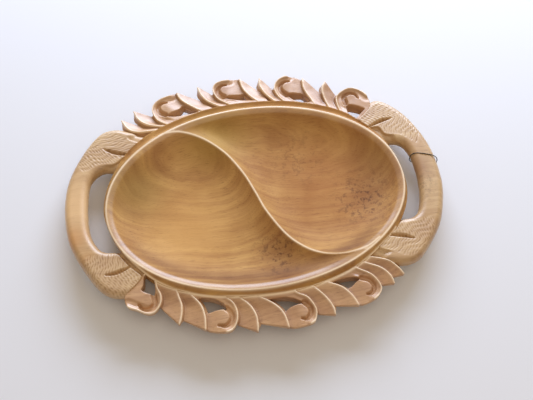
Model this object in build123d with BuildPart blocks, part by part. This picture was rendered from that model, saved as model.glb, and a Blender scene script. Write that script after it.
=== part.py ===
from build123d import *
import os

# Carved wooden bowl: an oval tray with two teardrop hollows parted by an S-shaped
# ridge, a pierced border of leaves and scrolls along both long sides, and a loop
# handle at each end. It is carved from one board; each carved member is a node.
# Origin at the centre of the flat base, +X along the length, +Z up.

RIM_LENGTH = 364.0          # rim ellipse, end to end
RIM_WIDTH = 248.6           # rim ellipse, across
RIM_TILT = 1.36             # the carver's oval sits slightly askew, degrees
RIM_Z = 38.0                # top of the rim above the table
BORDER_TOP = 33.6           # crests of the leaves and scrolls
BORDER_BOTTOM = 18.0        # flat underside of the border
BAND_LENGTH = 369.0         # outer edge of the coved band round the rim
BAND_WIDTH = 265.0
BAND_TOP = 31.6
BASE_LENGTH = 290.0         # flat foot on the table
BASE_WIDTH = 184.0
SHOULDER_LENGTH = 352.0     # outside of the bowl where the border springs from it
SHOULDER_WIDTH = 244.0
HANDLE_BOTTOM = 15.4
HANDLE_TOP = 34.6
HANDLE_ROUND = 6.0          # rounding of the handle's long edges
LEAF_FALL = 5.5             # drop of a leaf's scooped face from its crest to its foot
GROOVE_WIDTH = 3.6          # curl groove of a scroll
GROOVE_DEPTH = 5.0
DIVIDER_HALF = 8.0          # half width of the ridge at the floor
FLOOR_Z = 12.6
CORD_DIAMETER = 1.2
CORD_CLEARANCE = 0.25       # slack between the tied cord and the handle
CORD_INNER_END = Vector(198.4, 33.0)
CORD_OUTER_END = Vector(230.4, 24.0)
KNOT_DIAMETER = 3.2

# Levels of a hollow: height and size, from the floor to the rim.
HOLLOW_LEVELS = [(FLOOR_Z, 0.76), (15.0, 0.86), (22.0, 0.93), (32.0, 0.98), (RIM_Z, 1.0)]
HOLLOW_CENTRE = Vector(-62, -18)
HOLLOW_TAIL = (107, -94)

# Left hollow at the rim: the ridge side and the rim side, both ending in the tail.
RIDGE_SIDE = [(-176, 12), (-158, 57), (-120, 87), (-88, 92.5), (-60, 82), (-33, 57), (-15, 28), (0, -6),
              (22, -50), (50, -79), (78, -91), HOLLOW_TAIL]
RIM_SIDE = [HOLLOW_TAIL, (80, -109.5), (40, -118.5), (0, -121.5), (-50, -117.5), (-100, -103.5),
            (-145, -74), (-170, -38), (-176, 12)]

# Crest of the dividing ridge, left end to right end.
RIDGE_CREST = [(-104, 95), (-80, 93.5), (-50, 77), (-20, 43), (0, 0), (20, -44), (50, -77), (80, -89), (104, -90)]

# Each leaf: its crest from the root inside the band out to the tip, then the notch
# where its edge meets the next member, then its heel inside the band.
FAR_LEAVES = {
    "far_leaf_1": ([(-98, 98), (-118, 102.5), (-140, 103), (-153, 109), (-161, 123)], (-143, 117), (-92, 98)),
    "far_leaf_2": ([(-90, 106), (-112, 108.5), (-130, 114), (-140, 123), (-145, 135)], (-119, 127), (-86, 106)),
    "far_leaf_3": ([(-46, 118), (-65, 131), (-78, 141), (-85, 149), (-88, 158)], (-60, 146), (-30, 118)),
    "far_leaf_4": ([(-18, 124), (-36, 132), (-50, 142), (-57, 152), (-61, 164.5)], (-34, 148), (-6, 124)),
    "far_leaf_5": ([(24, 122), (13, 136), (4, 146), (-2, 157), (-5, 173.5)], (23, 150), (34, 122)),
    "far_leaf_6": ([(44, 124), (32, 138), (25, 148), (21, 158), (21, 171.5)], (45, 146), (54, 120)),
    "far_leaf_7": ([(92, 108), (86, 127), (81, 138), (77.5, 150), (78, 164)], (104, 136), (105, 104)),
    "far_leaf_8": ([(110, 102), (104, 123), (101.5, 138), (103, 148), (107, 156)], (125, 124), (126, 94)),
}
NEAR_LEAVES = {
    "near_leaf_1": ([(112, -94), (128, -97), (145, -103), (154, -112), (160, -121)], (142, -124), (104, -96)),
    "near_leaf_2": ([(106, -99), (120, -104), (134, -110.5), (143, -120), (147, -131)], (126, -132), (96, -102)),
    "near_leaf_3": ([(56, -116), (72, -122.5), (86, -129.5), (96, -141), (102, -153)], (71, -150), (46, -120)),
    "near_leaf_4": ([(46, -120), (56, -128), (66, -140), (72, -151), (74, -161)], (48, -157), (25, -119)),
    "near_leaf_5": ([(-24, -124), (-6, -133), (8, -143), (16, -154), (20, -171.5)], (-18, -160), (-36, -122)),
    "near_leaf_6": ([(-42, -122), (-29, -132), (-20, -142), (-15, -155), (-15, -172.5)], (-43, -158), (-52, -120)),
    "near_leaf_7": ([(-94, -108), (-86, -121), (-77, -133), (-73, -147), (-73, -163)], (-103, -146), (-108, -104)),
    "near_leaf_8": ([(-104, -104), (-101, -120), (-98, -132), (-99, -144), (-102, -154)], (-124, -130), (-128, -97)),
}

# Each scroll: its outer edge, its pierced hole, and its curl groove as centre,
# radius, first angle and sweep.
FAR_SCROLLS = {
    "far_scroll_1": ([(-88, 103), (-106, 112), (-116, 120), (-121, 134), (-117, 145), (-108, 151.5),
                      (-97, 155), (-86, 158), (-60, 140), (-44, 112)],
                     [(-104, 124), (-97, 128.5), (-87, 133.5), (-80, 139.5), (-66, 129.5), (-62, 125.5),
                      (-80, 122), (-95, 121.5)],
                     (-102, 137.5), 10.5, 95, 140),
    "far_scroll_2": ([(-8, 124), (-24, 134), (-36, 144), (-41, 157), (-38, 166), (-30, 170.5),
                      (-20, 171.5), (-4, 171), (8, 146), (22, 122)],
                     [(-29, 145), (-22, 146.5), (-8, 148.5), (0, 149.5), (5, 143.5), (12, 137.5),
                      (-5, 137.5), (-18, 140.5)],
                     (-21, 155.5), 10.5, 100, 110),
    "far_scroll_3": ([(58, 116), (49, 130), (42, 141), (39.5, 153), (44, 163), (51, 168),
                      (58, 169.5), (78, 162), (86, 136), (92, 108)],
                     [(55, 141), (62, 143), (74, 142.5), (79, 139), (85, 128), (78, 125),
                      (68, 127.5), (60, 133)],
                     (60, 153.5), 11.0, 100, 110),
    "far_scroll_4": ([(122, 96), (119, 110), (117.5, 120), (119, 131), (130, 140), (140, 142),
                      (151, 137), (159, 128), (161, 115), (156, 104), (134, 86)],
                     [(131.5, 115), (150, 107.5), (140, 100), (134.5, 96), (131.5, 103)],
                     (138, 124.5), 8.5, 10, 150),
}
NEAR_SCROLLS = {
    "near_scroll_1": ([(92, -100), (110, -110.5), (121, -117), (128, -126), (131, -135), (128, -142),
                       (121, -148), (105, -153), (88, -150), (70, -134), (64, -112)],
                      [(75, -123), (88, -119.5), (100, -119), (108, -121.5), (102, -126), (97, -130),
                       (91, -131.5), (83, -127.5)],
                      (110, -131), 10.5, -85, 120),
    "near_scroll_2": ([(26, -124), (34, -131), (44, -136.5), (50, -145), (53, -154), (51, -164),
                       (45, -169), (22, -171), (8, -160), (-10, -138), (-20, -118)],
                      [(0, -136), (12, -134.5), (26, -136), (35, -140), (39, -144), (32, -145),
                       (24, -147), (16.5, -150.5), (8, -143)],
                      (35, -153.5), 10.5, -85, 120),
    "near_scroll_3": ([(-56, -120), (-47, -128), (-40, -135), (-36.5, -145), (-37, -156), (-42, -165),
                       (-50, -168.5), (-72, -164), (-84, -150), (-88, -110)],
                      [(-79, -126.5), (-70, -126), (-60, -129), (-52, -134), (-48.5, -141), (-60, -142),
                       (-71, -143.5), (-75, -137)],
                      (-55, -151.5), 10.5, -85, 115),
    "near_scroll_4": ([(-124, -90), (-125, -106), (-121, -117), (-122, -128), (-129, -137), (-138, -138),
                       (-150, -132), (-160, -127), (-162, -114), (-148, -100), (-134, -84)],
                      [(-135, -100.5), (-131, -105), (-130, -114.5), (-142, -110), (-140, -106)],
                      (-138, -123), 8.5, 190, 150),
}

LEFT_HANDLE_EDGE = [(-112, 92), (-145, 104), (-168, 111.5), (-190, 105), (-212, 76), (-228, 40), (-232.3, 0),
                    (-226, -42), (-208, -79), (-189, -105), (-171, -114), (-150, -111), (-128, -86)]
RIGHT_HANDLE_EDGE = [(116, -90), (148, -107), (177, -107), (198, -88), (218, -58), (229, -22), (231, 7),
                     (226.5, 43), (214, 76), (196, 103), (172, 120), (152, 112), (124, 86)]
LEFT_FINGER_HOLE = [(-172, 51), (-187, 51), (-200, 38), (-204, 12), (-203, -22), (-197, -42), (-186, -55),
                    (-168, -57)]
RIGHT_FINGER_HOLE = [(166, 56), (187, 54), (197, 40), (201, 16), (200.5, -12), (196, -35), (187, -48),
                     (165, -51)]


def oval(length, width, z):
    """Filled ellipse of the bowl's own oval at height z."""
    with BuildSketch(Plane.XY.offset(z)) as sketch:
        Ellipse(length / 2, width / 2, rotation=RIM_TILT)
    return sketch.sketch


def closed_face(edge_points, z=0.0):
    """Face inside a smooth curve through the points, closed by a straight line."""
    with BuildSketch(Plane.XY.offset(z)) as sketch:
        with BuildLine():
            curve = Spline(*edge_points)
            Line(curve @ 1, curve @ 0)
        make_face()
    return sketch.sketch


def polygon_face(points):
    """Face inside straight lines through the points."""
    with BuildSketch() as sketch:
        with BuildLine():
            Polyline(*points, close=True)
        make_face()
    return sketch.sketch


def leaf_face(crest, notch, heel):
    """Plan of one leaf: curved crest, straight outer edge, and heel."""
    with BuildSketch() as sketch:
        with BuildLine():
            Spline(*crest)
            Polyline(crest[-1], notch, heel, crest[0])
        make_face()
    return sketch.sketch


def hollow_face(z, scale_by, turn):
    """Plan of one hollow at height z, drawn in towards the hollow's centre."""
    def placed(points):
        shrunk = [HOLLOW_CENTRE + (Vector(*p) - HOLLOW_CENTRE) * scale_by for p in points]
        return [p.rotate(Axis.Z, turn) for p in shrunk]
    with BuildSketch(Plane.XY.offset(z)) as sketch:
        with BuildLine():
            Spline(*placed(RIDGE_SIDE))
            Spline(*placed(RIM_SIDE))
        make_face()
    return sketch.sketch


def save(part, name):
    """Label one finished piece and write it to its own file."""
    part.label = name
    export_step(part, f"parts/{name}.step")


os.makedirs("parts", exist_ok=True)
band_face = oval(BAND_LENGTH, BAND_WIDTH, 0)

# Bowl block with both hollows cut, before the dividing ridge is parted from it.
with BuildPart() as block:
    add(oval(BASE_LENGTH, BASE_WIDTH, 0))
    add(oval(SHOULDER_LENGTH, SHOULDER_WIDTH, BORDER_BOTTOM))
    loft()
    with BuildSketch(Plane.XY.offset(BORDER_BOTTOM)):
        Ellipse(BAND_LENGTH / 2, BAND_WIDTH / 2, rotation=RIM_TILT)
    extrude(amount=BAND_TOP - BORDER_BOTTOM)
    with BuildSketch(Plane.XY.offset(BAND_TOP)):
        Ellipse(RIM_LENGTH / 2, RIM_WIDTH / 2, rotation=RIM_TILT)
    extrude(amount=RIM_Z - BAND_TOP)
    for turn in (0, 180):
        for z, size in HOLLOW_LEVELS:
            add(hollow_face(z, size, turn))
        loft(ruled=True, mode=Mode.SUBTRACT)

# Band of plan that the dividing ridge takes, a constant width either side of its crest.
with BuildSketch(Plane.XY.offset(FLOOR_Z)) as ridge_plan:
    with BuildLine():
        crest_line = Spline(*RIDGE_CREST, mode=Mode.PRIVATE)
        steps = [i / 10 for i in range(11)]
        sides = []
        for side in (-1, 1):
            sides.append([crest_line @ t + (crest_line % t).rotate(Axis.Z, 90) * side * DIVIDER_HALF
                          for t in steps])
        Spline(*sides[0])
        Spline(*sides[1])
        Line(sides[0][0], sides[1][0])
        Line(sides[0][-1], sides[1][-1])
    make_face()

with BuildPart() as s_divider:
    add(ridge_plan.sketch)
    extrude(amount=RIM_Z - FLOOR_Z)
    add(block.part, mode=Mode.INTERSECT)
save(s_divider.part, "s_divider")

with BuildPart() as bowl_body:
    add(block.part)
    with BuildSketch(Plane.XY.offset(FLOOR_Z)):
        add(ridge_plan.sketch)
    extrude(amount=RIM_Z - FLOOR_Z, mode=Mode.SUBTRACT)
save(bowl_body.part, "bowl_body")

# Border members in carving order along each side; each one runs under the next.
far_order = ["far_leaf_1", "far_leaf_2", "far_scroll_1", "far_leaf_3", "far_leaf_4", "far_scroll_2",
             "far_leaf_5", "far_leaf_6", "far_scroll_3", "far_leaf_7", "far_leaf_8", "far_scroll_4"]
near_order = [name.replace("far", "near") for name in far_order]
leaves = {**FAR_LEAVES, **NEAR_LEAVES}
scrolls = {**FAR_SCROLLS, **NEAR_SCROLLS}
plans = {name: leaf_face(*leaf) for name, leaf in leaves.items()}
plans.update({name: closed_face(scroll[0]) for name, scroll in scrolls.items()})

for order in (far_order, near_order):
    for place, name in enumerate(order):
        with BuildPart() as member:
            with BuildSketch(Plane.XY.offset(BORDER_BOTTOM)):
                add(plans[name])
                add(band_face, mode=Mode.SUBTRACT)
                for following in order[place + 1:place + 3]:
                    add(plans[following], mode=Mode.SUBTRACT)
                if name in scrolls:
                    add(polygon_face(scrolls[name][1]), mode=Mode.SUBTRACT)
            extrude(amount=BORDER_TOP - BORDER_BOTTOM)
            if name in leaves:
                crest, notch, heel = leaves[name]
                high_tip = Vector(*crest[-1], BORDER_TOP)
                high_root = Vector(*crest[1], BORDER_TOP)
                low_notch = Vector(*notch, BORDER_TOP - LEAF_FALL)
                slope = (high_root - high_tip).cross(low_notch - high_tip)
                upward = slope if slope.Z > 0 else slope * -1
                split(bisect_by=Plane(high_tip, z_dir=upward), keep=Keep.BOTTOM)
            else:
                centre, radius, first_angle, sweep_angle = scrolls[name][2:]
                with BuildSketch(Plane.XY.offset(BORDER_TOP - GROOVE_DEPTH)):
                    curl = CenterArc(centre, radius, first_angle, sweep_angle, mode=Mode.PRIVATE)
                    SlotArc(curl, GROOVE_WIDTH)
                extrude(amount=GROOVE_DEPTH, mode=Mode.SUBTRACT)
        solids = member.part.solids().sort_by(SortBy.VOLUME)
        save(Part(children=[solids[-1]]) if len(solids) > 1 else member.part, name)

# Loop handles: each takes the ground between the band and its own rounded edge.
for name, edge, hole, neighbours in (
        ("left_handle", LEFT_HANDLE_EDGE, LEFT_FINGER_HOLE, ("far_leaf_1", "near_scroll_4")),
        ("right_handle", RIGHT_HANDLE_EDGE, RIGHT_FINGER_HOLE, ("near_leaf_1", "far_scroll_4"))):
    with BuildPart() as handle:
        with BuildSketch(Plane.XY.offset(HANDLE_BOTTOM)):
            add(closed_face(edge))
            add(band_face, mode=Mode.SUBTRACT)
            add(closed_face(hole), mode=Mode.SUBTRACT)
            for neighbour in neighbours:
                add(plans[neighbour], mode=Mode.SUBTRACT)
        extrude(amount=HANDLE_TOP - HANDLE_BOTTOM)
        for face in (handle.faces().sort_by(Axis.Z)[-1], handle.faces().sort_by(Axis.Z)[0]):
            long_edges = face.edges().sort_by(SortBy.LENGTH)[-2:]
            fillet(long_edges, radius=HANDLE_ROUND)
    save(handle.part, name)

# Thin cord tied snugly round the right handle, with its knot underneath.
across = CORD_OUTER_END - CORD_INNER_END
middle = (CORD_OUTER_END + CORD_INNER_END) / 2 + Vector(0, 0, (HANDLE_TOP + HANDLE_BOTTOM) / 2)
around = Plane(origin=middle, x_dir=across, z_dir=across.cross(Vector(0, 0, 1)))
stand_off = CORD_DIAMETER + 2 * CORD_CLEARANCE
loop_height = HANDLE_TOP - HANDLE_BOTTOM + stand_off
with BuildSketch(around) as loop:
    RectangleRounded(across.length + stand_off, loop_height, HANDLE_ROUND + stand_off / 2)
cord_path = loop.sketch.face().outer_wire()
with BuildPart() as tag_cord:
    with BuildSketch(Plane(origin=cord_path @ 0, z_dir=cord_path % 0)):
        Circle(CORD_DIAMETER / 2)
    sweep(path=cord_path)
    with Locations(middle - Vector(0, 0, loop_height / 2 + KNOT_DIAMETER / 2 - CORD_DIAMETER / 2)):
        Sphere(KNOT_DIAMETER / 2)
save(tag_cord.part, "tag_cord")
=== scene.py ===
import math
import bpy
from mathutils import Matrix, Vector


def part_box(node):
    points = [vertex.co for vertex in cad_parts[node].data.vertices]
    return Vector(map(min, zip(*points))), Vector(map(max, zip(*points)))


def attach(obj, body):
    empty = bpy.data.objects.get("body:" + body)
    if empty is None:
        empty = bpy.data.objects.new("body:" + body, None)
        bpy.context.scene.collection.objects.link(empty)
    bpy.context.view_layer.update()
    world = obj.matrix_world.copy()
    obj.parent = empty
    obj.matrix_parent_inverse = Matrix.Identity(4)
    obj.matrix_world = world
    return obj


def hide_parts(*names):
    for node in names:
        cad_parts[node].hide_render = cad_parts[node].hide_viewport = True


bl_info = {
    "name": "Carved wooden bowl",
    "version": (1, 0, 0),
    "blender": (4, 5, 0),
    "location": "3D View > Sidebar > Carved bowl",
    "description": "Two-hollow serving bowl carved from one board, with a pierced border and loop handles",
    "category": "Object",
}

import bpy
import numpy as np
from bpy.props import FloatProperty, PointerProperty, StringProperty
from mathutils import Matrix, Vector

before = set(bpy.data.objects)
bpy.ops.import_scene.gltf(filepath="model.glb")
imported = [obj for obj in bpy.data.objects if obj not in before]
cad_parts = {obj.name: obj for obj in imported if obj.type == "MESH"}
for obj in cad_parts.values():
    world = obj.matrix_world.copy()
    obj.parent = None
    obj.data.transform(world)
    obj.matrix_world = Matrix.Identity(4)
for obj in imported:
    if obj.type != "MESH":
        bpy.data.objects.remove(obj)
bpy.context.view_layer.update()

# All shapes below are in millimetres in the frame's own axes; MM turns them to metres.
MM = 0.001
RIM_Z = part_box("bowl_body")[1][2] / MM
BORDER_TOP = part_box("far_leaf_3")[1][2] / MM
BORDER_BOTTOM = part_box("far_leaf_3")[0][2] / MM
HANDLE_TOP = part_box("left_handle")[1][2] / MM
HANDLE_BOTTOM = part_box("left_handle")[0][2] / MM

RIM_CENTRE = (0.5, -1.6)
RIM_HALF = (181.6, 122.2)
RIM_TURN = math.radians(2.9)
HOLLOW_DEPTH = 24.5
RIDGE_DROP = 4.2            # the dividing ridge's crest below the rim
SHOULDER_WIDTH = 8.0        # rounded inner shoulder of the rim
SHOULDER_DROP = 3.2
COVE_FLOOR = 6.4            # the coved band's bottom below the rim
RIM_POWER = 2.05            # 2 would be a true ellipse
HANDLE_ROUND = 9.0          # width over which a handle's edge rounds
BARB_PITCH = 3.0            # one cut barb to the next on the feathered fans
BOWL_FACES = 95000          # faces left on the bowl after thinning
# How far a pierced hole's wall leans in for each millimetre of depth.
HOLE_SLANT = {"far": 0.24, "near": 0.05}
LEAF_APRON = 3.8            # flare of a leaf's foot on the hollow side of its crest
TIP_RUN = 1.0               # thin point of each leaf beyond its crest line
FOOT_DROP = 6.0             # how far a member sinks where the next one stands over it
UNDERCUT_RISE = 7.0         # height of the slant below a member's outer edge
UNDERCUT_LEAN = 0.75        # how far in that slant goes for each millimetre down

# Outer edge of the coved band, where leaves and scrolls spring from it.
LEDGE = [(-184, 2), (-177, 34), (-158, 70), (-134, 93), (-112, 106), (-84, 117.5), (-57, 126), (-30, 131),
         (0, 133), (45, 131), (88, 121.5), (122, 107), (147, 86), (170, 56), (184, 4), (180, -32),
         (162, -63), (142, -82), (120, -99), (90, -114.5), (50, -126), (0, -130.5), (-50, -127.5),
         (-85, -120), (-118, -106), (-142, -87), (-166, -58), (-181, -24)]

# Crest of the dividing ridge, from end to end.
DIVIDER = [(-136, 84), (-124, 90), (-108, 94), (-90, 95.5), (-70, 89.5), (-50, 77), (-30, 57), (-12, 28),
           (0, 0),
           (10, -25), (30, -58), (50, -77), (70, -87), (90, -90), (108, -88.5), (124, -84), (138, -75)]

# Leaves: crest from root to tip, the notch where the outer edge meets the next member, the heel at the band.
LEAVES = {
    "far_leaf_1": ([(-98, 98), (-118, 102.5), (-140, 103), (-153, 109), (-161, 123)], (-143, 117), (-92, 98)),
    "far_leaf_2": ([(-90, 106), (-112, 108.5), (-130, 114), (-140, 123), (-145, 135)], (-119, 127),
                   (-86, 106)),
    "far_leaf_3": ([(-46, 118), (-65, 131), (-78, 141), (-85, 149), (-88, 158)], (-60, 146), (-30, 118)),
    "far_leaf_4": ([(-18, 124), (-36, 132), (-50, 142), (-57, 152), (-61, 164.5)], (-34, 148), (-6, 124)),
    "far_leaf_5": ([(24, 122), (13, 136), (4, 146), (-2, 157), (-5, 171.6)], (23, 150), (34, 122)),
    "far_leaf_6": ([(44, 124), (32, 138), (25, 148), (21, 158), (21, 170)], (45, 146), (54, 120)),
    "far_leaf_7": ([(92, 108), (86, 127), (81, 138), (77.5, 150), (78, 164)], (104, 136), (105, 104)),
    "far_leaf_8": ([(110, 102), (104, 123), (101.5, 138), (103, 148), (107, 156)], (125, 124), (126, 94)),
    "near_leaf_1": ([(112, -94), (128, -97), (145, -103), (154, -112), (160, -121)], (142, -124), (104, -96)),
    "near_leaf_2": ([(106, -99), (120, -104), (134, -110.5), (143, -120), (147, -131)], (126, -132),
                    (96, -102)),
    "near_leaf_3": ([(56, -116), (72, -122.5), (86, -129.5), (96, -141), (102, -153)], (71, -150),
                    (46, -120)),
    "near_leaf_4": ([(46, -120), (56, -128), (66, -140), (72, -151), (74, -161)], (48, -157), (25, -119)),
    "near_leaf_5": ([(-24, -124), (-6, -133), (8, -143), (16, -154), (20, -170)], (-18, -160), (-36, -122)),
    "near_leaf_6": ([(-42, -122), (-29, -132), (-20, -142), (-15, -155), (-15, -171)], (-43, -158),
                    (-52, -120)),
    "near_leaf_7": ([(-94, -108), (-86, -121), (-77, -133), (-73, -147), (-73, -163)], (-103, -146),
                    (-108, -104)),
    "near_leaf_8": ([(-104, -104), (-101, -120), (-98, -132), (-99, -144), (-102, -154)], (-124, -130),
                    (-128, -97)),
}

# Scrolls: outer edge, how many of its points are the sharp crest, pierced hole, and the curl groove.
SCROLLS = {
    "far_scroll_1": ([(-88, 103), (-106, 112), (-116, 120), (-121, 134), (-117, 145), (-108, 151.5),
                      (-97, 155), (-86, 158), (-60, 140), (-44, 112)], 6,
                     [(-104, 124), (-97, 128.5), (-87, 133.5), (-80, 139.5), (-66, 129.5), (-62, 125.5),
                      (-80, 122), (-95, 121.5)],
                     [(-102, 144.5), (-108, 144), (-113, 138), (-110, 130), (-104, 126)]),
    "far_scroll_2": ([(-8, 124), (-24, 134), (-36, 144), (-41, 157), (-38, 166), (-30, 170.5),
                      (-20, 171.5), (-4, 171), (8, 146), (22, 122)], 6,
                     [(-29, 145), (-22, 146.5), (-8, 148.5), (0, 149.5), (5, 143.5), (12, 137.5),
                      (-5, 137.5), (-18, 140.5)],
                     [(-23, 164.5), (-29, 163.5), (-34, 157), (-32, 150), (-27, 146)]),
    "far_scroll_3": ([(58, 116), (49, 130), (42, 141), (39.5, 153), (44, 163), (51, 168),
                      (58, 169.5), (78, 162), (86, 136), (92, 108)], 6,
                     [(55, 141), (62, 143), (74, 142.5), (79, 139), (85, 128), (78, 125),
                      (68, 127.5), (60, 133)],
                     [(60, 161.5), (54, 161), (48, 155), (49, 147), (55, 140)]),
    "far_scroll_4": ([(122, 96), (119, 110), (117.5, 120), (119, 131), (130, 140), (140, 142),
                      (151, 137), (159, 128), (161, 115), (156, 104), (134, 86)], 7,
                     [(130.5, 117), (152, 109), (147, 101.5), (134, 90.5), (130, 103)],
                     [(147, 125.5), (143, 132), (136, 134), (129, 129), (129.5, 119)]),
    "near_scroll_1": ([(92, -100), (110, -110.5), (121, -117), (128, -126), (131, -135), (128, -142),
                       (121, -148), (105, -153), (88, -150), (70, -134), (64, -112)], 6,
                      [(75, -123), (88, -119.5), (100, -119), (108, -121.5), (102, -126), (97, -130),
                       (91, -131.5), (83, -127.5)],
                      [(113, -141), (119, -140), (122.5, -133), (119, -125), (110, -121)]),
    "near_scroll_2": ([(26, -124), (34, -131), (44, -136.5), (50, -145), (53, -154), (51, -164),
                       (45, -169), (22, -171), (8, -160), (-10, -138), (-20, -118)], 6,
                      [(0, -136), (12, -134.5), (26, -136), (35, -140), (39, -144), (32, -145),
                       (24, -147), (16.5, -150.5), (8, -143)],
                      [(35, -161.5), (41, -162), (46, -156), (45.5, -149), (40, -143)]),
    "near_scroll_3": ([(-56, -120), (-47, -128), (-40, -135), (-36.5, -145), (-37, -156), (-42, -165),
                       (-50, -168.5), (-72, -164), (-84, -150), (-88, -110)], 6,
                      [(-79, -126.5), (-70, -126), (-60, -129), (-52, -134), (-48.5, -141), (-60, -142),
                       (-71, -143.5), (-75, -137)],
                      [(-59, -159.5), (-50, -160.5), (-43.5, -154), (-44, -146), (-49, -140)]),
    "near_scroll_4": ([(-124, -90), (-125, -106), (-121, -117), (-122, -128), (-129, -137), (-138, -138),
                       (-150, -132), (-160, -127), (-162, -114), (-148, -100), (-134, -84)], 7,
                      [(-139, -92), (-131, -88), (-128, -100), (-129, -115), (-143, -109.5), (-141, -103)],
                      [(-147, -125.5), (-143, -131), (-136, -132), (-129, -127), (-129.5, -117)]),
}
ORDER = ["leaf_1", "leaf_2", "scroll_1", "leaf_3", "leaf_4", "scroll_2",
         "leaf_5", "leaf_6", "scroll_3", "leaf_7", "leaf_8", "scroll_4"]

# Handles: outer edge, finger hole, and for each feathered fan its plan, its slit from mouth to end, and how
# many degrees its barbs lean from square to the slit; last, the members beside the handle.
HANDLES = {
    "left_handle": (
        [(-112, 92), (-145, 104), (-168, 111.5), (-190, 105), (-212, 76), (-228, 40), (-232.3, 0),
         (-226, -42), (-208, -79), (-189, -105), (-171, -114), (-150, -111), (-128, -86)],
        [(-172, 51), (-187, 51), (-200, 38), (-204, 12), (-203, -22), (-197, -42), (-186, -55), (-168, -57)],
        [([(-136, 82), (-150, 91), (-165, 103), (-190, 106), (-216, 74), (-210, 50), (-186, 58),
           (-172, 58), (-160, 66), (-150, 71)], [(-150, 70), (-183, 81.5)], 60),
         ([(-172, -60), (-160, -74), (-155, -80), (-141, -95), (-146, -108), (-172, -116), (-206, -84),
           (-206, -62), (-190, -60)], [(-155, -79.5), (-184, -87)], 22)],
        ["far_leaf_1", "near_scroll_4"]),
    "right_handle": (
        [(116, -90), (148, -107), (177, -107), (198, -88), (218, -58), (229, -22), (231, 7),
         (226.5, 43), (214, 76), (196, 103), (172, 120), (152, 112), (124, 86)],
        [(166, 56), (187, 54), (197, 40), (201, 16), (200.5, -12), (196, -35), (187, -48), (165, -51)],
        [([(134, 91), (143, 100), (156, 115), (176, 121), (213, 86), (212, 48), (190, 62), (172, 66),
           (165, 77), (152, 79)], [(152, 78.5), (184, 89)], 38),
         ([(171, -54), (160, -66), (151, -72), (136, -85), (150, -93), (176, -102), (206, -74),
           (208, -52), (190, -54)], [(150, -72.5), (180, -79.5)], 28)],
        ["near_leaf_1", "far_scroll_4"]),
}

# ---------------------------------------------------------------- plan geometry

def smooth_curve(points, closed=False, steps=8):
    """Points along a smooth curve through the given plan points."""
    p = np.asarray(points, float)
    if closed:
        p = np.vstack([p[-1], p, p[0], p[1]])
    else:
        p = np.vstack([2 * p[0] - p[1], p, 2 * p[-1] - p[-2]])
    t = np.linspace(0, 1, steps, endpoint=False)[:, None]
    spans = []
    for a, b, c, d in zip(p[:-3], p[1:-2], p[2:-1], p[3:]):
        spans.append(0.5 * (2 * b + (c - a) * t + (2 * a - 5 * b + 4 * c - d) * t ** 2
                            + (3 * b - a - 3 * c + d) * t ** 3))
    if not closed:
        spans.append(p[-2][None])
    return np.vstack(spans)


LEDGE_LINE = smooth_curve(LEDGE, closed=True)
DIVIDER_LINE = smooth_curve(DIVIDER)


def line_distance(x, y, line, radii=None):
    """Distance from each grid point to an open line; radii along the line are taken off it."""
    best = np.full(x.shape, 1e9)
    for i, (a, b) in enumerate(zip(line[:-1], line[1:])):
        along = b - a
        t = ((x - a[0]) * along[0] + (y - a[1]) * along[1]) / max(along @ along, 1e-9)
        t = np.clip(t, 0, 1)
        away = np.hypot(x - a[0] - t * along[0], y - a[1] - t * along[1])
        if radii is not None:
            away = away - (radii[i] + t * (radii[i + 1] - radii[i]))
        best = np.minimum(best, away)
    return best


def area_distance(x, y, outline):
    """Signed distance to a closed outline, negative inside."""
    ring = np.vstack([outline, outline[:1]])
    inside = np.zeros(x.shape, bool)
    for a, b in zip(ring[:-1], ring[1:]):
        if a[1] != b[1]:
            crosses = (a[1] > y) != (b[1] > y)
            inside ^= crosses & (x < a[0] + (y - a[1]) * (b[0] - a[0]) / (b[1] - a[1]))
    away = line_distance(x, y, ring)
    return np.where(inside, -away, away)


def ease(value, start, end):
    """Smooth step from 0 at start to 1 at end."""
    t = np.clip((value - start) / (end - start), 0, 1)
    return t * t * (3 - 2 * t)


def knife_waver(x, y):
    """Slow unevenness of hand carving, within about one either way."""
    return (np.sin(x * 0.31 + 1.7 * np.sin(y * 0.23)) + np.sin(y * 0.37 + 1.3 * np.sin(x * 0.19) + 2.0)) * 0.5


# ---------------------------------------------------------------- solids

def grid_over(low, high, cell):
    """Plan grid and heights that cover a box."""
    xs = np.arange(low[0], high[0] + cell, cell)
    ys = np.arange(low[1], high[1] + cell, cell)
    zs = np.arange(low[2], high[2] + cell, cell)
    x, y = np.meshgrid(xs, ys, indexing="ij")
    return x, y, zs


def soften(field, passes):
    """Rounds the solid's edges by averaging its field with its neighbours."""
    for _ in range(passes):
        for axis in range(3):
            before = np.roll(field, 1, axis)
            after = np.roll(field, -1, axis)
            field = (before + 2 * field + after) * 0.25
    return field


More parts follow.
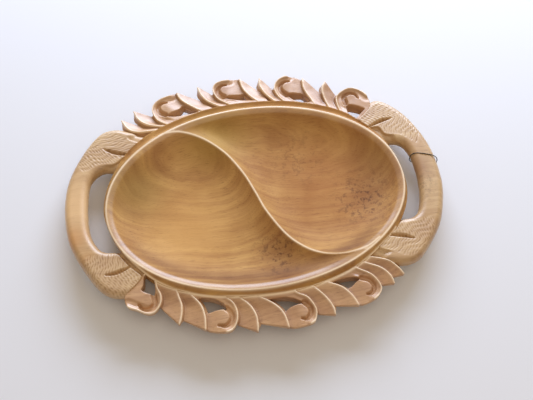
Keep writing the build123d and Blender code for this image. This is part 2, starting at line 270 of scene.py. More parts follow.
def skin(field, low, cell):
    """Closed quad mesh of the surface where the field is zero, one vertex per crossed cell."""
    inside = field < 0
    corners = [(i, j, k) for i in (0, 1) for j in (0, 1) for k in (0, 1)]
    n = [s - 1 for s in field.shape]
    count = sum(inside[i:i + n[0], j:j + n[1], k:k + n[2]].astype(np.int8) for i, j, k in corners)
    cells = np.argwhere((count > 0) & (count < 8))
    values = np.stack([field[tuple((cells + c).T)] for c in corners])
    total = np.zeros((len(cells), 3))
    hits = np.zeros(len(cells))
    for a in range(8):
        for b in range(a + 1, 8):
            step = np.subtract(corners[b], corners[a])
            if np.abs(step).sum() != 1:
                continue
            crossed = (values[a] < 0) != (values[b] < 0)
            t = np.where(crossed, values[a] / np.where(crossed, values[a] - values[b], 1), 0)
            total += np.where(crossed[:, None], corners[a] + t[:, None] * step, 0)
            hits += crossed
    verts = (cells + total / hits[:, None]) * cell + low
    number = np.full(n, -1, np.int64)
    number[tuple(cells.T)] = np.arange(len(cells))
    faces = []
    for axis in range(3):
        u, v = [(1, 2), (2, 0), (0, 1)][axis]
        ahead = [slice(None)] * 3
        behind = [slice(None)] * 3
        ahead[axis], behind[axis] = slice(1, None), slice(None, -1)
        for other in (u, v):
            ahead[other] = behind[other] = slice(1, -1)
        first, second = inside[tuple(behind)], inside[tuple(ahead)]
        for outward in (True, False):
            found = np.argwhere(first & ~second if outward else ~first & second)
            if not len(found):
                continue
            found[:, [u, v]] += 1
            around = []
            for du, dv in ((-1, -1), (0, -1), (0, 0), (-1, 0)):
                place = found.copy()
                place[:, u] += du
                place[:, v] += dv
                around.append(number[tuple(place.T)])
            quad = np.stack(around, 1)
            faces.append(quad if outward else quad[:, ::-1])
    return verts, np.vstack(faces)


def mesh_piece(name, verts, faces, material, node_names):
    """Smooth-shaded object from millimetre vertices, standing for the named nodes."""
    mesh = bpy.data.meshes.new(name)
    mesh.vertices.add(len(verts))
    mesh.vertices.foreach_set("co", (np.asarray(verts) * MM).astype(np.float32).ravel())
    size = faces.shape[1]
    mesh.loops.add(faces.size)
    mesh.loops.foreach_set("vertex_index", faces.astype(np.int32).ravel())
    mesh.polygons.add(len(faces))
    mesh.polygons.foreach_set("loop_start", np.arange(0, faces.size, size, dtype=np.int32))
    mesh.update(calc_edges=True)
    mesh.validate()
    mesh.shade_smooth()
    mesh.materials.append(material)
    piece = bpy.data.objects.new(name, mesh)
    bpy.context.collection.objects.link(piece)
    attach(piece, "root")
    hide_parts(*node_names)
    return piece


def carve(name, low, high, cell, shape, material, node_names, passes=1):
    """Makes one carved piece from its field function shape(x, y, z)."""
    margin = 2 * cell
    low = np.array(low) - margin
    x, y, zs = grid_over(low, np.array(high) + margin, cell)
    field = shape(x, y, zs).astype(np.float32)
    verts, faces = skin(soften(field, passes), low, cell)
    return mesh_piece(name, verts, faces, material, node_names)


def block(area, plan, top, bottom, zs, opening=None, slant=0.0):
    """Field of an upright block with a relief top, a pierced hole that narrows downwards, and an undercut
    below its own plan's edge, as a carver thins a leaf from beneath."""
    z = zs[None, None, :]
    undercut = UNDERCUT_LEAN * np.maximum(0, bottom + UNDERCUT_RISE - z)
    side = np.maximum(area[:, :, None], plan[:, :, None] + undercut)
    if opening is not None:
        side = np.maximum(side, -opening[:, :, None] - slant * (BORDER_TOP - z))
    return np.maximum(np.maximum(side, z - top[:, :, None]), bottom - z)


# ---------------------------------------------------------------- carved members

def rim_distance(x, y):
    """Distance outward from the rim's crest, negative inside the bowl."""
    c, s = math.cos(RIM_TURN), math.sin(RIM_TURN)
    dx, dy = x - RIM_CENTRE[0], y - RIM_CENTRE[1]
    u = (c * dx + s * dy) / RIM_HALF[0]
    v = (c * dy - s * dx) / RIM_HALF[1]
    radius = (np.abs(u) ** RIM_POWER + np.abs(v) ** RIM_POWER) ** (1 / RIM_POWER) + 1e-6
    slope = np.hypot(u / RIM_HALF[0], v / RIM_HALF[1]) / radius + 1e-6
    return (radius - 1) / slope


def gouged(inward, width):
    """Share of the full depth at a distance in from an edge: steep at first, then rounding into the floor."""
    left = 1 - np.clip(inward / width, 0, 1)
    return (1 - left ** 1.5) ** (2 / 3)


def bowl_top(x, y, ledge):
    """Height of the bowl's upper surface: hollows, dividing ridge, rim and coved band."""
    out = rim_distance(x, y)
    ridge = line_distance(x, y, DIVIDER_LINE)
    inward = np.maximum(-out - 0.6, 0)
    shoulder = SHOULDER_DROP * np.minimum(inward / SHOULDER_WIDTH, 1) ** 1.6
    dished = (HOLLOW_DEPTH - SHOULDER_DROP) * (1 - np.exp(-np.maximum(inward - SHOULDER_WIDTH, 0) / 23.0))
    wall = (shoulder + dished) / HOLLOW_DEPTH
    flank = 1 - np.exp(-np.maximum(ridge - 0.7, 0) / 19.0)
    lowered = RIDGE_DROP / HOLLOW_DEPTH
    hollow = RIM_Z - HOLLOW_DEPTH * wall * (lowered + (1 - lowered) * flank)
    across = np.clip((out - 1.3) / np.maximum(out - ledge - 1.3, 2.0), 0, 1)
    cove = RIM_Z - COVE_FLOOR * gouged(out - 0.9, 4.6) + 2.9 * across ** 3
    return np.where(out > 0, cove, hollow)


def bowl_field(x, y, zs):
    """Bowl with its foot, walls and band."""
    ledge = area_distance(x, y, LEDGE_LINE)
    top = np.minimum(bowl_top(x, y, ledge) + 0.12 * knife_waver(x * 0.6, y * 0.6), RIM_Z - 0.01)
    z = zs[None, None, :]
    rise = np.clip(z / BORDER_BOTTOM, 0, 1)
    spread = 30.0 * (1 - np.sin(rise * math.pi / 2) ** 0.9)
    side = ledge[:, :, None] + spread + 0.4 * np.maximum(0, 1.5 - z)
    return np.maximum(np.maximum(side, z - top[:, :, None]), -z)


def plan_outline(name):
    """Plan outline of one border member, running on under the member that follows it."""
    if name in LEAVES:
        crest, notch, heel = LEAVES[name]
        line = smooth_curve(crest)
        onward = line[-1] - line[-3]
        tip = line[-1] + TIP_RUN * onward / np.linalg.norm(onward)
        return np.vstack([line, [tip, notch, heel]])
    return smooth_curve(SCROLLS[name][0], closed=True)


def followers(name):
    """The next two members along the same side, which stand over this one's edge."""
    side, member = name.split("_", 1)
    place = ORDER.index(member)
    return [side + "_" + other for other in ORDER[place + 1:place + 3]]


def trimmed(area, x, y, names):
    """Area distance cut back to the coved band and to the named members, a little under each."""
    ledge = area_distance(x, y, LEDGE_LINE)
    area = np.maximum(area, -ledge - 1.2)
    for name in names:
        area = np.maximum(area, -area_distance(x, y, plan_outline(name)) - 0.9)
    return area, ledge


def next_crest(name):
    """Crest line of the member that stands over this one's foot; the last has one out of reach, mid-bowl."""
    following = followers(name)
    if not following:
        return np.array([[0.0, 0.0], [1.0, 0.0]])
    follower = following[0]
    if follower in LEAVES:
        return smooth_curve(LEAVES[follower][0])
    outline, crest_count = SCROLLS[follower][:2]
    return smooth_curve(outline[:crest_count])


def apron(area, own, from_tip, reach):
    """Area widened by the foot that flares out below a crest, narrowing to nothing at the tip."""
    return np.minimum(area, own - reach * ease(from_tip, 0, 12))


def flared(top, area, reach):
    """Relief outside a member's own plan: a hollow slope down from its crest to the flared foot."""
    away = np.clip(area / reach, 0, 1)
    return np.where(area > 0, BORDER_TOP - 0.3 - (FOOT_DROP + 1.0) * (1 - (1 - away) ** 2.2), top)


def under_next(top, other):
    """Relief that rises in a steep slope to meet the next member's crest."""
    return np.maximum(top, BORDER_TOP - 0.9 - (FOOT_DROP - 0.5) * ease(other, 0, 2.8))


def leaf_shape(name):
    """Plan, field function and crest of one leaf: sharp crest, scooped face falling to its foot."""
    crest = smooth_curve(LEAVES[name][0])
    foot = next_crest(name)
    outline = plan_outline(name)

    def shape(x, y, zs):
        plan = area_distance(x, y, outline)
        own = line_distance(x, y, crest)
        tip = np.hypot(x - crest[-1][0], y - crest[-1][1])
        wide = apron(plan, own, tip, LEAF_APRON)
        area, ledge = trimmed(wide, x, y, followers(name))
        other = line_distance(x, y, foot)
        across = own / (own + other + 1e-6)
        grown = ease(ledge, -2, 14)
        scoop = 1 - (1 - across) ** 1.5
        top = BORDER_TOP - 0.2 - FOOT_DROP * (0.25 + 0.75 * grown) * scoop - 0.6 * (1 - ease(tip, 0, 8))
        top = flared(under_next(top, other), plan, LEAF_APRON) + 0.15 * knife_waver(x, y)
        return block(area, wide, top, BORDER_BOTTOM, zs)
    return outline, shape, [crest]


def scroll_shape(name):
    """Plan, field function and crest of one pierced scroll: curled band, groove and knob."""
    edge, crest_count, hole_points, groove_points = SCROLLS[name]
    outline = smooth_curve(edge, closed=True)
    crest = smooth_curve(edge[:crest_count + 1])
    hole = smooth_curve(hole_points, closed=True)
    groove = smooth_curve(groove_points)
    foot = next_crest(name)
    widths = np.interp(np.linspace(0, 1, len(groove)), [0, 0.35, 1], [0.3, 1.4, 2.2])

    def shape(x, y, zs):
        plan = area_distance(x, y, outline)
        area, ledge = trimmed(plan, x, y, followers(name))
        opening = area_distance(x, y, hole)
        own = line_distance(x, y, crest)
        other = line_distance(x, y, foot)
        band = 2.4 * ease(own, 0, 4.5) - 1.4 * ease(own, 7, 11)
        groove_away = line_distance(x, y, groove, widths)
        cut = 6.5 * (1 - ease(groove_away, -1.4, 1.8))
        sunk = (FOOT_DROP - 3.0) * (1 - ease(other, 2, 22)) * ease(own, 3, 9)
        grown = ease(ledge, -2, 8)
        top = BORDER_TOP - 0.2 - grown * (band + cut + sunk)
        top = under_next(top, other) + 0.15 * knife_waver(x, y)
        return block(area, plan, top, BORDER_BOTTOM, zs, opening, HOLE_SLANT[name.split("_")[0]])
    return outline, shape, [crest]


def fan_marks(x, y, fan, slit, lean):
    """One feathered fan: distance to its plan, depth of its barbs from 0 to 1, and distance to its slit."""
    area = area_distance(x, y, smooth_curve(fan, closed=True))
    mouth, end = np.array(slit[0], float), np.array(slit[1], float)
    axis = (end - mouth) / np.linalg.norm(end - mouth)
    u = (x - mouth[0]) * axis[0] + (y - mouth[1]) * axis[1]
    v = -(x - mouth[0]) * axis[1] + (y - mouth[1]) * axis[0]
    lean = math.radians(lean)
    waver = 0.9 * np.sin(0.21 * v + 0.13 * u) + 0.5 * np.sin(0.6 * v)
    phase = math.cos(lean) * u + math.sin(lean) * np.abs(v) + waver
    stroke = 0.65 + 0.35 * np.sin(0.55 * u - 0.8 * v + 2.0 * np.sin(0.17 * u + 0.2 * v))
    barbs = (0.5 - 0.5 * np.sin(2 * np.pi * phase / BARB_PITCH)) * stroke
    along = np.linspace(0, 1, 9)
    slit_line = mouth + along[:, None] * (end - mouth)
    slit_line = slit_line + np.outer(np.sin(np.pi * along) * 1.8, [-axis[1], axis[0]])
    cut = line_distance(x, y, slit_line, 2.1 * np.sin(np.pi * np.clip(along, 0.06, 1)))
    return area, barbs * (1 - ease(area, -3.0, 0.0)), cut


def handle_shape(name):
    """Plan and field function of one loop handle: rounded bar, feathered fans and slits."""
    edge_points, hole_points, fans, beside = HANDLES[name]
    edge = smooth_curve(edge_points)
    hole = smooth_curve(hole_points)
    middle = (HANDLE_TOP + HANDLE_BOTTOM) / 2
    half = (HANDLE_TOP - HANDLE_BOTTOM) / 2

    def shape(x, y, zs):
        area = area_distance(x, y, edge)
        opening = area_distance(x, y, hole)
        trim, ledge = trimmed(area, x, y, beside)
        depth = np.minimum(line_distance(x, y, edge), line_distance(x, y, hole))
        depth = np.where((area < 0) & (opening > 0), depth, 0)
        dome = np.sqrt(np.clip(1 - (1 - np.clip(depth / HANDLE_ROUND, 0, 1)) ** 2, 0, 1))
        top = middle + half * dome
        sunk = np.full(x.shape, 3.4)
        for fan, slit, lean in fans:
            fan_area, barbs, cut = fan_marks(x, y, fan, slit, lean)
            top = top - 0.6 * barbs * ease(depth, 1, 5)
            top = top - 5.6 * (1 - ease(cut, -1.3, 0.9))
            sunk = np.minimum(sunk, 3.4 * ease(fan_area, -0.4, 1.6))
        near_band = 1 - ease(ledge, 8, 16)
        top = top - sunk * near_band
        z = zs[None, None, :]
        under = (middle - half * dome)[:, :, None]
        side = np.maximum(trim, -opening)[:, :, None]
        return np.maximum(np.maximum(side, z - top[:, :, None]), under - z)
    return edge, shape


# ---------------------------------------------------------------- cord

def tube(points, radius, sides=10):
    """Ring-swept tube along an open or closed run of 3D points."""
    p = np.asarray(points, float)
    closed = np.linalg.norm(p[0] - p[-1]) < 1e-6
    if closed:
        p = p[:-1]
        heading = np.roll(p, -1, 0) - np.roll(p, 1, 0)
    else:
        heading = np.gradient(p, axis=0)
    heading /= np.linalg.norm(heading, axis=1)[:, None]
    guide = np.array([0.31, 0.95, 0.07])
    first = np.cross(heading, guide)
    first /= np.linalg.norm(first, axis=1)[:, None]
    second = np.cross(heading, first)
    a = np.linspace(0, 2 * np.pi, sides, endpoint=False)
    rings = p[:, None] + radius * (np.cos(a)[None, :, None] * first[:, None]
                                   + np.sin(a)[None, :, None] * second[:, None])
    count = len(p)
    spans = range(count if closed else count - 1)
    faces = []
    for i in spans:
        j = (i + 1) % count
        for k in range(sides):
            m = (k + 1) % sides
            faces.append((i * sides + k, j * sides + k, j * sides + m, i * sides + m))
    return rings.reshape(-1, 3), np.array(faces)


# ---------------------------------------------------------------- materials

def srgb(hex_text):
    """Linear colour from an sRGB hex value."""
    parts = [int(hex_text[i:i + 2], 16) / 255 for i in (1, 3, 5)]
    return tuple(c / 12.92 if c <= 0.04045 else ((c + 0.055) / 1.055) ** 2.4 for c in parts) + (1.0,)


def add_node(tree, kind, settings=None, **links):
    """Adds one node, sets its values and joins its inputs."""
    node = tree.nodes.new(kind)
    for key, value in (settings or {}).items():
        if key in node.bl_rna.properties:
            setattr(node, key, value)
        else:
            node.inputs[int(key) if key.isdigit() else key].default_value = value
    for key, source in links.items():
        name = key.strip("_").replace("__", " ")
        target = node.inputs[int(name)] if name.isdigit() else node.inputs[name]
        tree.links.new(source, target)
    return node


def new_material(name):
    """Empty node material and its tree."""
    material = bpy.data.materials.new(name)
    material.use_nodes = True
    material.node_tree.nodes.clear()
    return material, material.node_tree


# Patches of colour: centre and reach in millimetres, colour, strength, and whether it is a stain in specks.
MARKS = {
    "bowl": [((90, 20, 16), 120, "#b06f38", 0.4, False), ((-85, -30, 14), 85, "#dba860", 0.55, False),
             ((-42, 88, 22), 62, "#a88a35", 0.5, False), ((-150, 25, 20), 60, "#8f7430", 0.5, False),
             ((158, 30, 20), 62, "#7d5021", 0.5, False), ((140, -15, 16), 42, "#7a4a22", 0.4, False),
             ((135, -15, 16), 60, "#54290c", 0.8, True), ((22, -80, 18), 40, "#7a4a22", 0.45, False),
             ((20, -78, 18), 45, "#54290c", 0.8, True), ((60, 50, 16), 60, "#6b4019", 0.4, True)],
    "border": [],
    "handle": [((-214, 5, 30), 70, "#f6cd94", 0.6, False), ((-222, -38, 28), 26, "#cf8d45", 0.6, False),
               ((-205, -62, 28), 16, "#cf9450", 0.5, False), ((203, 12, 30), 24, "#9a6b40", 0.7, False),
               ((206, 46, 28), 24, "#b08050", 0.5, False), ((205, -10, 30), 30, "#6b4525", 0.5, True)],
}


def carved_wood(name, light, dark, marks):
    """Close-grained hardwood, gouged, scraped and waxed. The wax gives a soft broad sheen over warm streaks
    along the board, with short dark pores; the sharp crests are paler, partly wear and partly painted
    highlight, and painted shade darkens creases and the near wall."""
    material, tree = new_material(name)
    place = add_node(tree, "ShaderNodeTexCoord").outputs["Object"]
    drift = add_node(tree, "ShaderNodeTexNoise", {"Scale": 9.0, "Detail": 3.0}, Vector=place)
    bend = add_node(tree, "ShaderNodeVectorMath", {"operation": "MULTIPLY", "1": (0.0, 0.022, 0.022)},
                    _0_=drift.outputs["Color"])
    bent = add_node(tree, "ShaderNodeVectorMath", {"operation": "ADD"}, _0_=place, _1_=bend.outputs[0])
    # Rings are distances from a heart line along X, 150 mm to the far side and 120 mm below.
    from_heart = add_node(tree, "ShaderNodeVectorMath", {"operation": "SUBTRACT", "1": (0.0, 0.150, -0.120)},
                          _0_=bent.outputs[0])
    flat = add_node(tree, "ShaderNodeVectorMath", {"operation": "MULTIPLY", "1": (0.0, 1.0, 1.0)},
                    _0_=from_heart.outputs[0])
    ring = add_node(tree, "ShaderNodeVectorMath", {"operation": "LENGTH"}, _0_=flat.outputs[0])
    # Growth rings about 6 mm apart with finer ones between, each running about 200 mm along the board.
    across = add_node(tree, "ShaderNodeMath", {"operation": "MULTIPLY", "1": 170.0},
                      _0_=ring.outputs["Value"])
    axes = add_node(tree, "ShaderNodeSeparateXYZ", Vector=place)
    along = add_node(tree, "ShaderNodeMath", {"operation": "MULTIPLY", "1": 5.0}, _0_=axes.outputs["X"])
    ring_place = add_node(tree, "ShaderNodeCombineXYZ", X=along.outputs[0], Y=across.outputs[0])
    rings = add_node(tree, "ShaderNodeTexNoise", {"Scale": 1.0, "Detail": 5.0, "Roughness": 0.62},
                     Vector=ring_place.outputs[0])
    # Pores about 1 mm wide and 15 mm long, drawn coarser than the real 0.2 mm so that they show.
    pore_grain = add_node(tree, "ShaderNodeVectorMath", {"operation": "MULTIPLY", "1": (65.0, 800.0, 800.0)},
                          _0_=bent.outputs[0])
    pores = add_node(tree, "ShaderNodeTexNoise", {"Scale": 1.0, "Detail": 3.0, "Roughness": 0.7},
                     Vector=pore_grain.outputs[0])
    tone = add_node(tree, "ShaderNodeMapRange", {"From Min": 0.25, "From Max": 0.75},
                    Value=rings.outputs["Fac"])
    colour = add_node(tree, "ShaderNodeMix", {"data_type": "RGBA", "6": srgb(dark), "7": srgb(light)},
                      _0_=tone.outputs[0])
    # Uneven colour of the board in patches 40 mm wide.
    cloud = add_node(tree, "ShaderNodeTexNoise", {"Scale": 25.0, "Detail": 3.0}, Vector=place)
    cloudy = add_node(tree, "ShaderNodeMapRange", {"From Min": 0.35, "From Max": 0.75, "To Max": 0.45},
                      Value=cloud.outputs["Fac"])
    colour = add_node(tree, "ShaderNodeMix", {"data_type": "RGBA", "blend_type": "MULTIPLY",
                                              "7": srgb("#b98a58")},
                      _0_=cloudy.outputs[0], _6_=colour.outputs[2])
    fleck = add_node(tree, "ShaderNodeMapRange", {"From Min": 0.55, "From Max": 0.72, "To Max": 0.5},
                     Value=pores.outputs["Fac"])
    colour = add_node(tree, "ShaderNodeMix", {"data_type": "RGBA", "blend_type": "MULTIPLY",
                                              "7": srgb("#8a5a2e")},
                      _0_=fleck.outputs[0], _6_=colour.outputs[2])
    speckle = add_node(tree, "ShaderNodeTexNoise", {"Scale": 170.0, "Detail": 4.0, "Roughness": 0.7},
                       Vector=place)
    specks = add_node(tree, "ShaderNodeMapRange", {"From Min": 0.51, "From Max": 0.62},
                      Value=speckle.outputs["Fac"])
    for centre, reach, tint, strength, speckled in marks:
        away = add_node(tree, "ShaderNodeVectorMath",
                        {"operation": "DISTANCE", "1": tuple(v * MM for v in centre)},
                        _0_=place)
        share = add_node(tree, "ShaderNodeMapRange",
                         {"interpolation_type": "SMOOTHSTEP", "From Min": reach * MM,
                                                      "From Max": 0.0, "To Max": strength},
                         Value=away.outputs["Value"])
        if speckled:
            share = add_node(tree, "ShaderNodeMath", {"operation": "MULTIPLY"}, _0_=share.outputs[0],
                             _1_=specks.outputs[0])
        colour = add_node(tree, "ShaderNodeMix", {"data_type": "RGBA", "7": srgb(tint)}, _0_=share.outputs[0],
                          _6_=colour.outputs[2])
    # Paler where points carry wear and painted highlight, darker where they carry painted shade as negative
    # values.
    wear_and_painted_light = add_node(tree, "ShaderNodeAttribute", {"attribute_name": "wear_and_painted_light"})
    paled_by_wear_and_highlight = add_node(tree, "ShaderNodeMapRange", {"To Max": 0.85}, Value=wear_and_painted_light.outputs["Fac"])
    colour = add_node(tree, "ShaderNodeMix", {"data_type": "RGBA", "7": srgb("#fde6c2")},
                      _0_=paled_by_wear_and_highlight.outputs[0], _6_=colour.outputs[2])
    painted_shade_share = add_node(tree, "ShaderNodeMapRange", {"From Max": -0.45, "To Max": 0.6},
                      Value=wear_and_painted_light.outputs["Fac"])
    colour = add_node(tree, "ShaderNodeMix", {"data_type": "RGBA", "blend_type": "MULTIPLY",
                                              "7": srgb("#8f6238")},
                      _0_=painted_shade_share.outputs[0], _6_=colour.outputs[2])
    # Points marked as polished, such as the rim and the border, shine more than the floors of the hollows.
    polish = add_node(tree, "ShaderNodeAttribute", {"attribute_name": "polish"})
    waxed = add_node(tree, "ShaderNodeMapRange", {"To Min": 0.05, "To Max": 0.95},
                     Value=polish.outputs["Fac"])
    dull = add_node(tree, "ShaderNodeMapRange", {"To Min": 0.74, "To Max": 0.42}, Value=polish.outputs["Fac"])
    rough = add_node(tree, "ShaderNodeMath", {"operation": "MULTIPLY_ADD", "1": 0.12},
                     _0_=cloud.outputs["Fac"],
                     _2_=dull.outputs[0])
    bump = add_node(tree, "ShaderNodeBump", {"Strength": 0.25, "Distance": 0.0006},
                    Height=pores.outputs["Fac"])
    shader = add_node(tree, "ShaderNodeBsdfPrincipled", {"IOR": 1.5, "Coat Roughness": 0.39},
                      Base__Color=colour.outputs[2], Roughness=rough.outputs[0],
                      Coat__Weight=waxed.outputs[0],
                      Normal=bump.outputs[0])
    add_node(tree, "ShaderNodeOutputMaterial", Surface=shader.outputs[0])
    return material


def twisted_cord(tint):
    """Black waxed cotton cord, two strands twisted: dark with a faint fibre sheen."""
    material, tree = new_material("waxed_cotton_cord")
    place = add_node(tree, "ShaderNodeTexCoord").outputs["Object"]
    fuzz = add_node(tree, "ShaderNodeTexNoise", {"Scale": 4000.0, "Detail": 2.0}, Vector=place)
    colour = add_node(tree, "ShaderNodeMix", {"data_type": "RGBA", "6": srgb("#0b0a0a"), "7": srgb(tint)},
                      _0_=fuzz.outputs["Fac"])
    shader = add_node(tree, "ShaderNodeBsdfPrincipled", {"Roughness": 0.7, "Sheen Weight": 0.3},
                      Base__Color=colour.outputs[2])
    add_node(tree, "ShaderNodeOutputMaterial", Surface=shader.outputs[0])
    return material


# ---------------------------------------------------------------- operators

class BowlSettings(bpy.types.PropertyGroup):
    """Sizes and colours of the carved bowl."""
    bowl_light: StringProperty(name="Hollow, light", description="Light streaks of the hollows, sRGB hex",
                               default="#d0a35c")
    bowl_dark: StringProperty(name="Hollow, dark", description="Dark streaks of the hollows, sRGB hex",
                              default="#a3713a")
    border_light: StringProperty(name="Border, light",
                                 description="Light streaks of leaves and scrolls, sRGB hex",
                                 default="#dcb382")
    border_dark: StringProperty(name="Border, dark",
                                description="Dark streaks of leaves and scrolls, sRGB hex",
                                default="#ad8058")
    handle_light: StringProperty(name="Handle, light", description="Light streaks of the handles, sRGB hex",
                                 default="#d9b987")
    handle_dark: StringProperty(name="Handle, dark", description="Dark streaks of the handles, sRGB hex",
                                default="#b38b5b")
    cord_colour: StringProperty(name="Cord", description="Cord colour, sRGB hex", default="#141212")
    relief_cell: FloatProperty(name="Relief detail", description="Grid size of the carved border",
                               default=0.0006,
                               min=0.0003, max=0.002, unit="LENGTH")
    bowl_cell: FloatProperty(name="Bowl detail", description="Grid size of the bowl", default=0.0008,
                             min=0.0004, max=0.003, unit="LENGTH")


def wood(part):
    """The waxed wood of the bowl, the border or the handles, made when first asked for."""
    settings = bpy.context.scene.carved_bowl
    found = bpy.data.materials.get("waxed_hardwood_" + part)
    return found or carved_wood("waxed_hardwood_" + part, getattr(settings, part + "_light"),
                                getattr(settings, part + "_dark"), MARKS[part])


def crest_wear_and_highlight(x, y, z, crests, width, lowest):
    """How pale each point is made, partly by wear and partly by a painted highlight: most on the crest lines,
    and only near the top.
    """
    amount = np.zeros(len(x))
    for crest in crests:
        amount = np.maximum(amount, np.exp(-(line_distance(x, y, crest) / width) ** 2))
    return amount * ease(z, lowest, lowest + 0.8)


def near_wall_painted_shade(x, y):
    """Painted shade on the near wall below its polished shoulder."""
    return 0.42 * np.exp(-((rim_distance(x, y) + 17.0) / 9.0) ** 2) * ease(-y, 20, 90)


def foot_painted_shade(x, y, z, name):
    """Painted shade where a member runs down under the crest of the next one."""
    if not followers(name):
        return 0 * x
    away = line_distance(x, y, next_crest(name))
    return 0.32 * np.exp(-(away / 4.0) ** 2) * (1 - ease(z, BORDER_TOP - 4.0, BORDER_TOP - 2.0))


def near_part(line):
    """The part of a plan line on the near side, where the band's edge gets a painted highlight line."""
    return line[line[:, 1] < -60]


def mark_points(piece, layer_name, amount_at):
    """Stores amount_at(x, y, z), from 0 to 1, on every point of a piece."""
    points = np.empty(len(piece.data.vertices) * 3, np.float32)
    piece.data.vertices.foreach_get("co", points)
    x, y, z = (points.reshape(-1, 3) / MM).T
    layer = piece.data.attributes.new(layer_name, "FLOAT", "POINT")
    layer.data.foreach_set("value", np.asarray(amount_at(x, y, z), np.float32))


def fan_wear_and_painted_light(x, y, name):
    """Paler tops of the barbs, partly wear and partly painted highlight, and painted shade in the cuts
    between them as negative values.
    """
    amount = np.zeros(len(x))
    for fan, slit, lean in HANDLES[name][2]:
        area, barbs, cut = fan_marks(x, y, fan, slit, lean)
        amount = np.where(area < 0, 0.24 * (1 - ease(area, -3.0, 0.0)) * (1 - 2 * barbs), amount)
    return amount


class CARVED_OT_bowl(bpy.types.Operator):
    """Bowl body with both hollows, the dividing ridge, the rim and the coved band"""
    bl_idname = "carved.bowl"
    bl_label = "Bowl body"

    def execute(self, context):
        cell = context.scene.carved_bowl.bowl_cell / MM
        low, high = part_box("bowl_body")
        piece = carve("bowl", [v / MM for v in low], [v / MM for v in high], cell, bowl_field, wood("bowl"),
                      ["bowl_body", "s_divider"])
        thin = piece.modifiers.new("thin", "DECIMATE")
        thin.ratio = min(1.0, BOWL_FACES / len(piece.data.polygons))
        thinned = bpy.data.meshes.new_from_object(piece.evaluated_get(context.evaluated_depsgraph_get()))
        piece.modifiers.clear()
        piece.data = thinned
        # One line right round the rim's crest.
        turn = np.linspace(0, 2 * np.pi, 181)
        c, s = math.cos(RIM_TURN), math.sin(RIM_TURN)
        u, v = RIM_HALF[0] * np.cos(turn), RIM_HALF[1] * np.sin(turn)
        rim = np.column_stack([RIM_CENTRE[0] + c * u - s * v, RIM_CENTRE[1] + s * u + c * v])
        # Paler lines on the rim, the ridge and the near edge of the band: partly wear, partly painted
        # highlight.
        crests = [rim, DIVIDER_LINE, 0.993 * near_part(LEDGE_LINE)]
        # Painted shade on the near wall below the shoulder is taken off these values.
        mark_points(piece, "wear_and_painted_light", lambda x, y, z: crest_wear_and_highlight(x, y, z, crests, 1.2, RIM_Z - RIDGE_DROP - 1.4)
                    - near_wall_painted_shade(x, y))
        mark_points(piece, "polish", lambda x, y, z: 1 - ease(np.abs(rim_distance(x, y) + 2.5), 3.5, 6.5))
        return {"FINISHED"}


class CARVED_OT_border(bpy.types.Operator):
    """Leaves and scrolls of both long sides"""
    bl_idname = "carved.border"
    bl_label = "Leaf and scroll border"

    def execute(self, context):
        cell = context.scene.carved_bowl.relief_cell / MM
        for side in ("far", "near"):
            for member in ORDER:
                name = f"{side}_{member}"
                outline, shape, crests = leaf_shape(name) if name in LEAVES else scroll_shape(name)
                low = [*(outline.min(0) - LEAF_APRON), BORDER_BOTTOM]
                high = [*(outline.max(0) + LEAF_APRON), BORDER_TOP]
                piece = carve("carved_" + name, low, high, cell, shape, wood("border"), [name])
                # On the near side the band's edge also gets a painted highlight line.
                if side == "near":
                    crests = crests + [near_part(LEDGE_LINE)]
                # Painted shade is taken off where the member runs under the next crest.
                # Paler crests: partly wear, partly painted highlight.
                mark_points(piece, "wear_and_painted_light", lambda x, y, z: crest_wear_and_highlight(x, y, z, crests, 1.5, BORDER_TOP - 3.2)
                            - foot_painted_shade(x, y, z, name))
                mark_points(piece, "polish", lambda x, y, z: np.ones(len(x)))
        return {"FINISHED"}


class CARVED_OT_handles(bpy.types.Operator):
    """Loop handles with feathered fans"""
    bl_idname = "carved.handles"
    bl_label = "Loop handles"

    def execute(self, context):
        cell = context.scene.carved_bowl.relief_cell / MM
        for name in HANDLES:
            outline, shape = handle_shape(name)
            low = [*outline.min(0), HANDLE_BOTTOM]
            high = [*outline.max(0), HANDLE_TOP]
            piece = carve("carved_" + name, low, high, cell, shape, wood("handle"), [name])
            # Paler barb tops, partly wear and partly painted highlight, and painted shade in the cuts between
            # barbs.
            mark_points(piece, "wear_and_painted_light", lambda x, y, z: fan_wear_and_painted_light(x, y, name) * ease(z, 24, 30))
            mark_points(piece, "polish", lambda x, y, z: np.ones(len(x)))
        return {"FINISHED"}


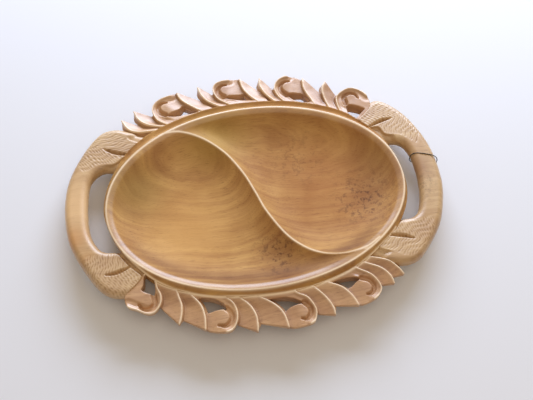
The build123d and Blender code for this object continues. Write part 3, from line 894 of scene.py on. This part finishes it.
class CARVED_OT_cord(bpy.types.Operator):
    """Thin cord tied round the right handle"""
    bl_idname = "carved.cord"
    bl_label = "Tied cord"

    def execute(self, context):
        strand = 0.38
        cord_radius = 0.6
        left = np.array([198.4, 33.0])
        right = np.array([230.4, 24.0])
        middle = np.array([*(left + right) / 2, (HANDLE_TOP + HANDLE_BOTTOM) / 2])
        across = np.array([*(right - left) / np.linalg.norm(right - left), 0])
        half_width = np.linalg.norm(right - left) / 2 + 0.3
        half_height = (HANDLE_TOP - HANDLE_BOTTOM) / 2 + 0.5
        t = np.linspace(0, 2 * np.pi, 241)
        # A rounded oblong, squarer than an ellipse, as the handle's section is.
        squareness = 2 / 3.2
        u = half_width * np.sign(np.cos(t)) * np.abs(np.cos(t)) ** squareness
        w = half_height * np.sign(np.sin(t)) * np.abs(np.sin(t)) ** squareness
        loop = middle + u[:, None] * across + w[:, None] * np.array([0, 0, 1.0])
        sideways = np.array([-across[1], across[0], 0])
        loop = loop + 3.4 * np.clip(np.sin(t), 0, 1)[:, None] * sideways
        outward = loop - middle
        outward /= np.linalg.norm(outward, axis=1)[:, None]
        verts, faces = [], []
        start = 0
        for phase in (0, np.pi):
            turn = t * 28 + phase
            strand_line = loop + (cord_radius - strand) * (np.cos(turn)[:, None] * outward
                                                           + np.sin(turn)[:, None] * sideways)
            v, f = tube(strand_line, strand)
            verts.append(v)
            faces.append(f + start)
            start += len(v)
        # The knot lies against the underside, drawn up as a trefoil.
        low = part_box("tag_cord")[0][2] / MM
        knot = np.column_stack([np.sin(t) + 2 * np.sin(2 * t), np.cos(t) - 2 * np.cos(2 * t), -np.sin(3 * t)])
        knot = knot * (0.5, 0.5, 0.45) + (middle[0], middle[1], low + 1.8)
        knot[-1] = knot[0]
        v, f = tube(knot, 0.5)
        verts.append(v)
        faces.append(f + start)
        piece = mesh_piece("tied_cord", np.vstack(verts), np.vstack(faces),
                           twisted_cord(context.scene.carved_bowl.cord_colour), ["tag_cord"])
        return {"FINISHED"}


class CARVED_OT_stage(bpy.types.Operator):
    """Floor, lights and camera"""
    bl_idname = "carved.stage"
    bl_label = "Stage"

    def execute(self, context):
        bpy.ops.mesh.primitive_plane_add(size=16, location=(0, 0, 0))
        floor = context.object
        floor.name = "studio_floor"
        material, tree = new_material("matte_paper")
        shader = add_node(tree, "ShaderNodeBsdfPrincipled", {"Base Color": srgb("#e4e6ea"), "Roughness": 0.9})
        add_node(tree, "ShaderNodeOutputMaterial", Surface=shader.outputs[0])
        floor.data.materials.append(material)
        for name, place, width, height, power, tint in (
                ("window", (0.35, 1.55, 0.8), 1.7, 0.7, 52, "#d9e6ff"),
                ("overhead", (0.3, -0.5, 1.9), 1.6, 1.6, 8, "#ffe9cf")):
            lamp = bpy.data.lights.new(name, "AREA")
            lamp.shape = "RECTANGLE"
            lamp.size = width
            lamp.size_y = height
            lamp.energy = power
            lamp.color = srgb(tint)[:3]
            holder = bpy.data.objects.new(name, lamp)
            holder.location = place
            holder.rotation_euler = (Vector((0, 0, 0.03)) - Vector(place)).to_track_quat("-Z", "Y").to_euler()
            context.collection.objects.link(holder)
        world = bpy.data.worlds.new("soft_room")
        world.use_nodes = True
        world.node_tree.nodes["Background"].inputs["Color"].default_value = srgb("#fff0dd")
        world.node_tree.nodes["Background"].inputs["Strength"].default_value = 0.42
        context.scene.world = world
        context.scene.view_settings.view_transform = "Standard"
        camera = bpy.data.objects.new("camera", bpy.data.cameras.new("camera"))
        camera.data.lens = 50
        camera.data.sensor_width = 36
        eye = Vector((-39.7, -407.8, 801.5 + BORDER_TOP)) * MM
        aim = Vector((11.5, -10.7, BORDER_TOP)) * MM
        upward = Vector((15.1, 134.6, 0)).normalized()
        back = (eye - aim).normalized()
        side = upward.cross(back).normalized()
        up = back.cross(side)
        camera.matrix_world = Matrix.Translation(eye) @ Matrix((side, up, back)).transposed().to_4x4()
        context.collection.objects.link(camera)
        context.scene.camera = camera
        return {"FINISHED"}


class CARVED_PT_panel(bpy.types.Panel):
    """Buttons for the carved bowl"""
    bl_label = "Carved bowl"
    bl_idname = "CARVED_PT_panel"
    bl_space_type = "VIEW_3D"
    bl_region_type = "UI"
    bl_category = "Carved bowl"

    def draw(self, context):
        settings = context.scene.carved_bowl
        # The first two are Blender's own.
        for prop in settings.bl_rna.properties.keys()[2:]:
            self.layout.prop(settings, prop)
        for operator in STEPS:
            self.layout.operator(operator.bl_idname)


STEPS = (CARVED_OT_stage, CARVED_OT_bowl, CARVED_OT_border, CARVED_OT_handles, CARVED_OT_cord)
CLASSES = (BowlSettings, *STEPS, CARVED_PT_panel)


def register():
    for cls in CLASSES:
        bpy.utils.register_class(cls)
    bpy.types.Scene.carved_bowl = PointerProperty(type=BowlSettings)


def unregister():
    del bpy.types.Scene.carved_bowl
    for cls in reversed(CLASSES):
        bpy.utils.unregister_class(cls)


def main():
    """Registers the classes and makes every piece in order."""
    register()
    for step in STEPS:
        getattr(bpy.ops.carved, step.bl_idname.split(".")[1])()


if __name__ == "__main__":
    main()
